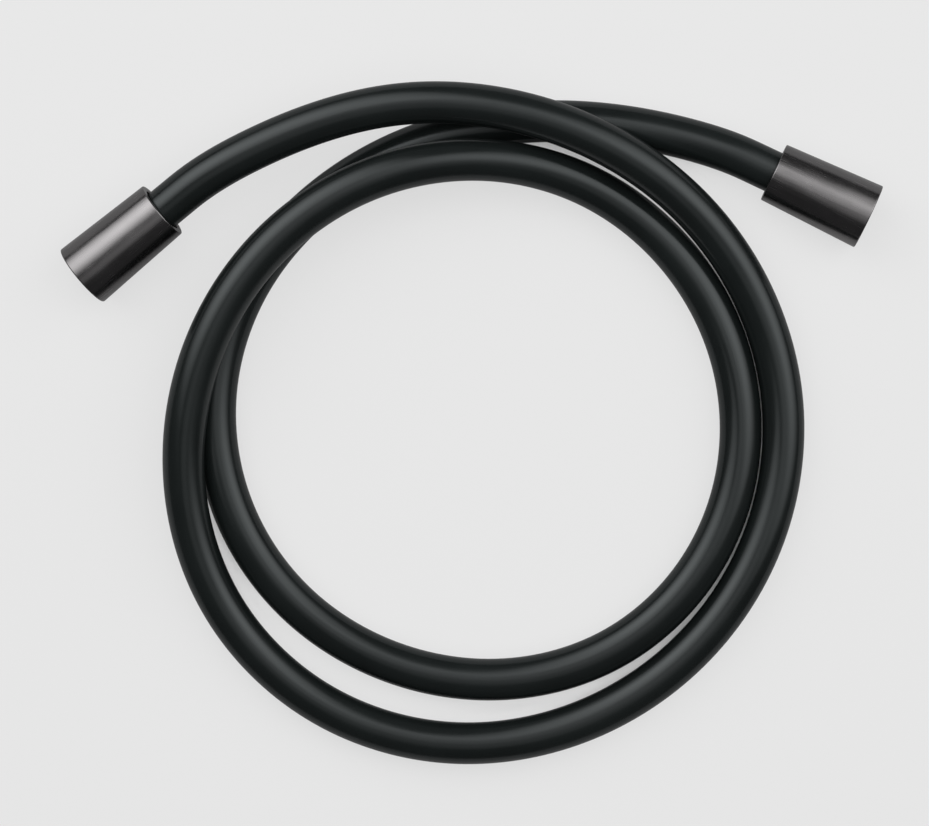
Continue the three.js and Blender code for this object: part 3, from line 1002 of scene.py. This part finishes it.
class ShowerHoseNuts(bpy.types.Operator):
    """Make the two union nuts with their threads"""

    bl_idname = "shower_hose.make_nuts"
    bl_label = "Make Nuts"

    def execute(self, context):
        nut = context.scene.shower_hose_nut
        sizes = places(context)
        values = {
            "Pitch": nut.thread_pitch,
            "Crest Radius": nut.thread_crest,
            "Root Radius": nut.thread_root,
            "Thread End": sizes.relief_start + EDGE_EASE,
            "Finish": gunmetal(nut),
        }
        tree = thread_tree()
        for name, fitting in (("handset", HANDSET), ("supply", SUPPLY)):
            outline = eased(nut_corners(nut, sizes))
            plain = turned_mesh(name + "_blank", outline, sides=THREADED_SIDES)
            blank = added(name + "_blank", plain)
            mesh = modified(blank, tree, values)
            bpy.data.objects.remove(blank)
            placed(name + "_union_nut", mesh, fitting, name + "_nut")
        return {"FINISHED"}


class ShowerHoseWashers(bpy.types.Operator):
    """Make the flat rubber washer in each nut"""

    bl_idname = "shower_hose.make_washers"
    bl_label = "Make Washers"

    def execute(self, context):
        sizes = places(context)
        corners = [
            (sizes.washer_front, WASHER_HOLE_RADIUS),
            (sizes.washer_back, WASHER_HOLE_RADIUS),
            (sizes.washer_back, sizes.washer_radius),
            (sizes.washer_front, sizes.washer_radius),
        ]
        finish = soft_rubber()
        for name, fitting in (("handset", HANDSET), ("supply", SUPPLY)):
            turned_piece(name + "_flat_washer", corners, fitting, name + "_washer", finish)
        return {"FINISHED"}


class ShowerHoseSwivel(bpy.types.Operator):
    """Make the swivel in the handset's nut: its seat, core, seal and clip"""

    bl_idname = "shower_hose.make_swivel"
    bl_label = "Make Swivel"

    def execute(self, context):
        sizes = places(context)
        brass = turned_brass()
        turned_piece("turned_swivel_seat", self.seat(sizes), HANDSET, "swivel_seat", brass)
        turned_piece("turned_swivel_core", self.core(sizes), HANDSET, "swivel_core", brass)
        self.seal(sizes)
        self.clip(sizes)
        return {"FINISHED"}

    def seat(self, sizes):
        """A flange for the washer, and a hub that turns on the core, with a pocket for the clip."""
        return [
            (sizes.flange_front, CLIP_POCKET_RADIUS),
            (sizes.flange_front, sizes.flange_radius),
            (sizes.flange_back, sizes.flange_radius),
            (sizes.flange_back, sizes.hub_radius),
            (sizes.hub_end, sizes.hub_radius),
            (sizes.hub_end, SEAT_BORE_RADIUS),
            (sizes.clip_shoulder, SEAT_BORE_RADIUS),
            (sizes.clip_shoulder, CLIP_POCKET_RADIUS),
        ]

    def core(self, sizes):
        """A spigot with a clip groove and a seal groove, a collar, and a barbed tail."""
        clip_bed = sizes.spigot_radius - CLIP_GRIP - CLIP_SIDE_GAP
        seal_half = O_RING_SECTION + O_RING_GAP
        tail_end = sizes.handset_hose_end + CORE_TAIL_LENGTH
        return [
            (sizes.core_front, sizes.waterway),
            (sizes.core_front, sizes.spigot_radius),
            (sizes.clip_front - CLIP_SIDE_GAP, sizes.spigot_radius),
            (sizes.clip_front - CLIP_SIDE_GAP, clip_bed),
            (sizes.clip_back + CLIP_SIDE_GAP, clip_bed),
            (sizes.clip_back + CLIP_SIDE_GAP, sizes.spigot_radius),
            (sizes.seal_centre - seal_half, sizes.spigot_radius),
            (sizes.seal_centre - seal_half, sizes.seal_groove),
            (sizes.seal_centre + seal_half, sizes.seal_groove),
            (sizes.seal_centre + seal_half, sizes.spigot_radius),
            (sizes.collar_front, sizes.spigot_radius),
            (sizes.collar_front, sizes.collar_radius),
            (sizes.collar_back, sizes.collar_radius),
            (sizes.collar_back, sizes.tail_root),
            *barbs(sizes, sizes.handset_hose_end + BARB_PITCH / 2, tail_end),
            (tail_end, sizes.waterway),
        ]

    def seal(self, sizes):
        middle = sizes.seal_groove + O_RING_GAP + O_RING_SECTION
        corners = []
        for side in range(O_RING_SIDES):
            angle = math.tau * side / O_RING_SIDES
            along = sizes.seal_centre + O_RING_SECTION * math.cos(angle)
            corners.append((along, middle + O_RING_SECTION * math.sin(angle), 0))
        turned_piece("round_swivel_seal", corners, HANDSET, "swivel_o_ring", soft_rubber())

    def clip(self, sizes):
        """The open spring clip: a flat ring with a gap, in the core's groove."""
        inner = sizes.spigot_radius - CLIP_GRIP
        outer = CLIP_POCKET_RADIUS - CLIP_SIDE_GAP
        corners = [
            (sizes.clip_front, inner),
            (sizes.clip_back, inner),
            (sizes.clip_back, outer),
            (sizes.clip_front, outer),
        ]
        turned_piece(
            "open_spring_clip", corners, HANDSET, "retaining_clip", spring_steel(), opening=CLIP_OPENING
        )


class ShowerHoseEnds(bpy.types.Operator):
    """Make the supply end's insert and the crimped ferrule of each end"""

    bl_idname = "shower_hose.make_ends"
    bl_label = "Make Hose Ends"

    def execute(self, context):
        sizes = places(context)
        brass = turned_brass()
        turned_piece("turned_supply_insert", self.insert(sizes), SUPPLY, "supply_insert", brass)
        handset = self.ferrule(sizes, sizes.handset_lip)
        turned_piece("crimped_handset_ferrule", handset, HANDSET, "handset_ferrule", brass)
        supply = self.ferrule(sizes, sizes.supply_lip)
        turned_piece("crimped_supply_ferrule", supply, SUPPLY, "supply_ferrule", brass)
        return {"FINISHED"}

    def insert(self, sizes):
        """A flange, a neck through the ferrule's lip, and a barbed tail."""
        tail_end = sizes.supply_hose_end + INSERT_TAIL_LENGTH
        return [
            (sizes.flange_front, sizes.waterway),
            (sizes.flange_front, sizes.flange_radius),
            (sizes.flange_back, sizes.flange_radius),
            (sizes.flange_back, sizes.tail_root),
            *barbs(sizes, sizes.supply_hose_end + BARB_PITCH / 2, tail_end),
            (tail_end, sizes.waterway),
        ]

    def ferrule(self, sizes, lip):
        """A thin sleeve with grooves pressed into its outside, and a lip over the hose's end."""
        lip_radius = sizes.tail_radius + SEAT_GAP
        outer = sizes.ferrule_outer
        pitch = (sizes.ferrule_end - lip) / (CRIMP_GROOVES + 1)
        half = CRIMP_GROOVE_LENGTH / 2
        corners = [(lip, lip_radius), (lip, outer)]
        for groove in range(1, CRIMP_GROOVES + 1):
            middle = lip + groove * pitch
            corners += [
                (middle - half, outer),
                (middle - half / 2, outer - CRIMP_GROOVE_DEPTH),
                (middle + half / 2, outer - CRIMP_GROOVE_DEPTH),
                (middle + half, outer),
            ]
        corners += [
            (sizes.ferrule_end, outer),
            (sizes.ferrule_end, sizes.ferrule_inner),
            (lip + FERRULE_WALL, sizes.ferrule_inner),
            (lip + FERRULE_WALL, lip_radius),
        ]
        return corners


class ShowerHosePanel(bpy.types.Panel):
    """The sizes, the colours and the steps, in the order in which they are made"""

    bl_idname = "VIEW3D_PT_shower_hose"
    bl_label = "Shower Hose"
    bl_space_type = "VIEW_3D"
    bl_region_type = "UI"
    bl_category = "Shower Hose"

    def draw(self, context):
        scene = context.scene
        for title, group in (
            ("Hose", scene.shower_hose_tube),
            ("Nuts", scene.shower_hose_nut),
            ("Stage", scene.shower_hose_stage),
        ):
            box = self.layout.box()
            box.label(text=title)
            for name in group.bl_rna.properties.keys():
                if name not in ("rna_type", "name"):
                    box.prop(group, name)
        for operator in OPERATORS:
            self.layout.operator(operator.bl_idname)


GROUPS = {
    "shower_hose_tube": HoseProperties,
    "shower_hose_nut": NutProperties,
    "shower_hose_stage": StageProperties,
}
OPERATORS = (
    ShowerHoseStage,
    ShowerHoseNuts,
    ShowerHoseWashers,
    ShowerHoseSwivel,
    ShowerHoseEnds,
    ShowerHoseTube,
)
CLASSES = (*GROUPS.values(), *OPERATORS, ShowerHosePanel)


def register():
    for kind in CLASSES:
        bpy.utils.register_class(kind)
    for name, kind in GROUPS.items():
        setattr(bpy.types.Scene, name, PointerProperty(type=kind))


def unregister():
    for name in GROUPS:
        delattr(bpy.types.Scene, name)
    for kind in reversed(CLASSES):
        bpy.utils.unregister_class(kind)


def main():
    register()
    bpy.ops.shower_hose.make_stage()
    bpy.ops.shower_hose.make_nuts()
    bpy.ops.shower_hose.make_washers()
    bpy.ops.shower_hose.make_swivel()
    bpy.ops.shower_hose.make_ends()
    bpy.ops.shower_hose.make_hose()
    bpy.context.view_layer.update()


if __name__ == "__main__":
    main()
